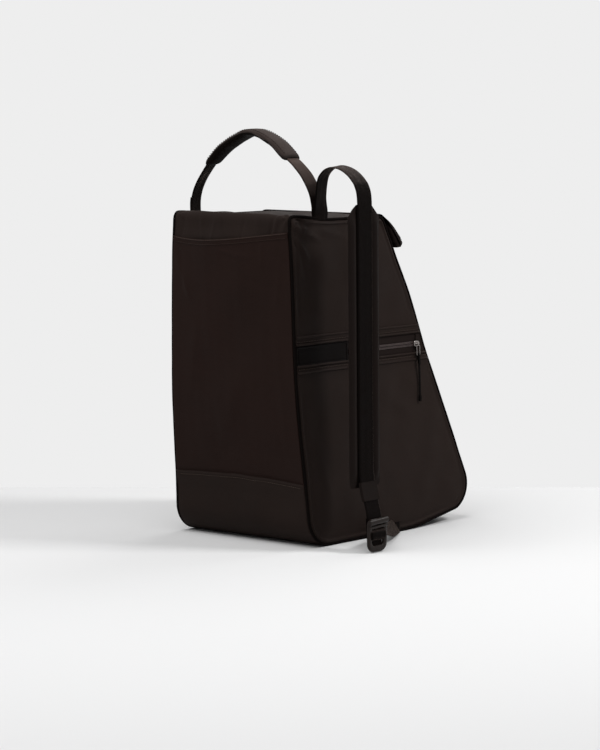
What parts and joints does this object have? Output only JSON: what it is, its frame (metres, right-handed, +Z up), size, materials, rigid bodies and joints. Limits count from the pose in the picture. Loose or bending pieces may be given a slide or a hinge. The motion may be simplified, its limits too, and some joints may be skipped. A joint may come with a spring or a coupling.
{
  "type": "boot bag",
  "caption": "Wedge-shaped soft boot bag with sloping zipped front door, side zip pocket, back slip pocket, padded carry handle, shoulder strap and top flap.",
  "frame": {"origin": "middle of the base, on the surface that the bag stands on", "axes": "+Z up, +Y towards the flat back face, -Y towards the sloping front door, -X towards the shoulder strap"},
  "size_m": [0.3335, 0.3953, 0.5757],
  "materials": {
    "shell_cloth": "matt woven nylon, very dark brown-black",
    "pocket_cloth": "matt woven nylon",
    "lining_cloth": "smooth woven lining",
    "foam": "soft closed foam",
    "board": "stiff plastic board",
    "binding": "ribbed binding tape",
    "piping": "corded nylon edge",
    "webbing": "woven webbing",
    "grip": "webbing sewn over foam",
    "pad": "nylon over foam",
    "zip_tape": "woven zip tape",
    "zip_teeth": "moulded nylon coil",
    "slider_metal": "dark nickel plate",
    "pull_tab": "soft rubber strip",
    "rubber_panel": "matt moulded rubber",
    "buckle_plastic": "moulded acetal, satin"
  },
  "bodies": {
    "bag": {"base_panel": "shell_cloth", "back_panel": "shell_cloth", "top_panel": "shell_cloth", "base_board": "board", "back_foam": "foam", "top_stiffener": "board", "body_lining": "lining_cloth", "plain_side_panel": "shell_cloth", "plain_side_lining": "lining_cloth", "strap_side_upper_panel": "shell_cloth", "side_pocket_front": "pocket_cloth", "side_pocket_wall": "lining_cloth", "strap_side_seam_binding": "binding", "plain_side_seam_binding": "binding", "strap_side_piping": "piping", "plain_side_piping": "piping", "back_slip_pocket": "pocket_cloth", "slip_pocket_hem": "pocket_cloth", "side_zip_upper_welt": "zip_tape", "side_zip_upper_tape": "zip_tape", "side_zip_upper_teeth": "zip_teeth", "side_zip_lower_welt": "zip_tape", "side_zip_lower_tape": "zip_tape", "side_zip_lower_teeth": "zip_teeth", "side_zip_end_tab": "zip_tape", "side_rubber_panel": "rubber_panel", "front_yoke": "shell_cloth", "strap_side_front_strip": "shell_cloth", "plain_side_front_strip": "shell_cloth", "front_zip_frame_tape": "zip_tape", "front_zip_frame_teeth": "zip_teeth", "handle_anchor_plain_side": "webbing", "handle_anchor_strap_side": "webbing", "strap_top_anchor": "webbing", "strap_lower_anchor": "webbing"},
    "carry_handle": {"handle_webbing": "webbing", "handle_grip": "grip"},
    "shoulder_strap": {"strap_webbing": "webbing", "strap_pad": "pad", "strap_buckle": "buckle_plastic", "strap_lower_webbing": "webbing"},
    "top_flap": {"top_flap": "shell_cloth"},
    "front_door": {"front_door": "shell_cloth", "front_door_lining": "lining_cloth", "front_zip_door_tape": "zip_tape", "front_zip_door_teeth": "zip_teeth"},
    "side_zip_slider": {"side_zip_slider": "slider_metal"},
    "side_zip_pull": {"side_zip_pull_link": "slider_metal", "side_zip_pull_tab": "pull_tab"},
    "front_zip_strap_side_slider": {"front_zip_strap_side_slider": "slider_metal"},
    "front_zip_strap_side_pull": {"front_zip_strap_side_pull_link": "slider_metal", "front_zip_strap_side_pull_tab": "pull_tab"},
    "front_zip_plain_side_slider": {"front_zip_plain_side_slider": "slider_metal"},
    "front_zip_plain_side_pull": {"front_zip_plain_side_pull_link": "slider_metal", "front_zip_plain_side_pull_tab": "pull_tab"}
  },
  "joints": [
    {"name": "handle_swing", "type": "hinge", "parent": "bag", "child": "carry_handle", "pos_m": [0, 0.158, 0.4623], "axis": [-1, 0, 0], "range_deg": [-85, 85]},
    {"name": "strap_swing", "type": "hinge", "parent": "bag", "child": "shoulder_strap", "pos_m": [-0.10705, 0.141, 0.451], "axis": [0.0417, 0.3047, 0.9515], "range_deg": [0, 45]},
    {"name": "flap_lift", "type": "hinge", "parent": "bag", "child": "top_flap", "pos_m": [0, 0.023, 0.4495], "axis": [-1, 0, 0], "range_deg": [0, 130]},
    {"name": "door_open", "type": "hinge", "parent": "bag", "child": "front_door", "pos_m": [0, -0.15722, 0.08609], "axis": [1, 0, 0], "range_deg": [0, 115]},
    {"name": "side_zip_slide", "type": "slide", "parent": "bag", "child": "side_zip_slider", "axis": [0, 1, 0], "range_m": [0, 0.13747]},
    {"name": "side_zip_pull_swing", "type": "hinge", "parent": "side_zip_slider", "child": "side_zip_pull", "pos_m": [-0.11777, -0.05147, 0.26426], "axis": [0, 1, 0], "range_deg": [0, 120]},
    {"name": "front_zip_strap_side_slide", "type": "slide", "parent": "front_door", "child": "front_zip_strap_side_slider", "axis": [-1, 0, 0], "range_m": [0, 0.025]},
    {"name": "front_zip_strap_side_pull_swing", "type": "hinge", "parent": "front_zip_strap_side_slider", "child": "front_zip_strap_side_pull", "pos_m": [-0.008, -0.02083, 0.38936], "axis": [-1, 0, 0], "range_deg": [0, 100]},
    {"name": "front_zip_plain_side_slide", "type": "slide", "parent": "front_door", "child": "front_zip_plain_side_slider", "axis": [1, 0, 0], "range_m": [0, 0.025]},
    {"name": "front_zip_plain_side_pull_swing", "type": "hinge", "parent": "front_zip_plain_side_slider", "child": "front_zip_plain_side_pull", "pos_m": [0.008, -0.02083, 0.38936], "axis": [-1, 0, 0], "range_deg": [0, 100]}
  ]
}
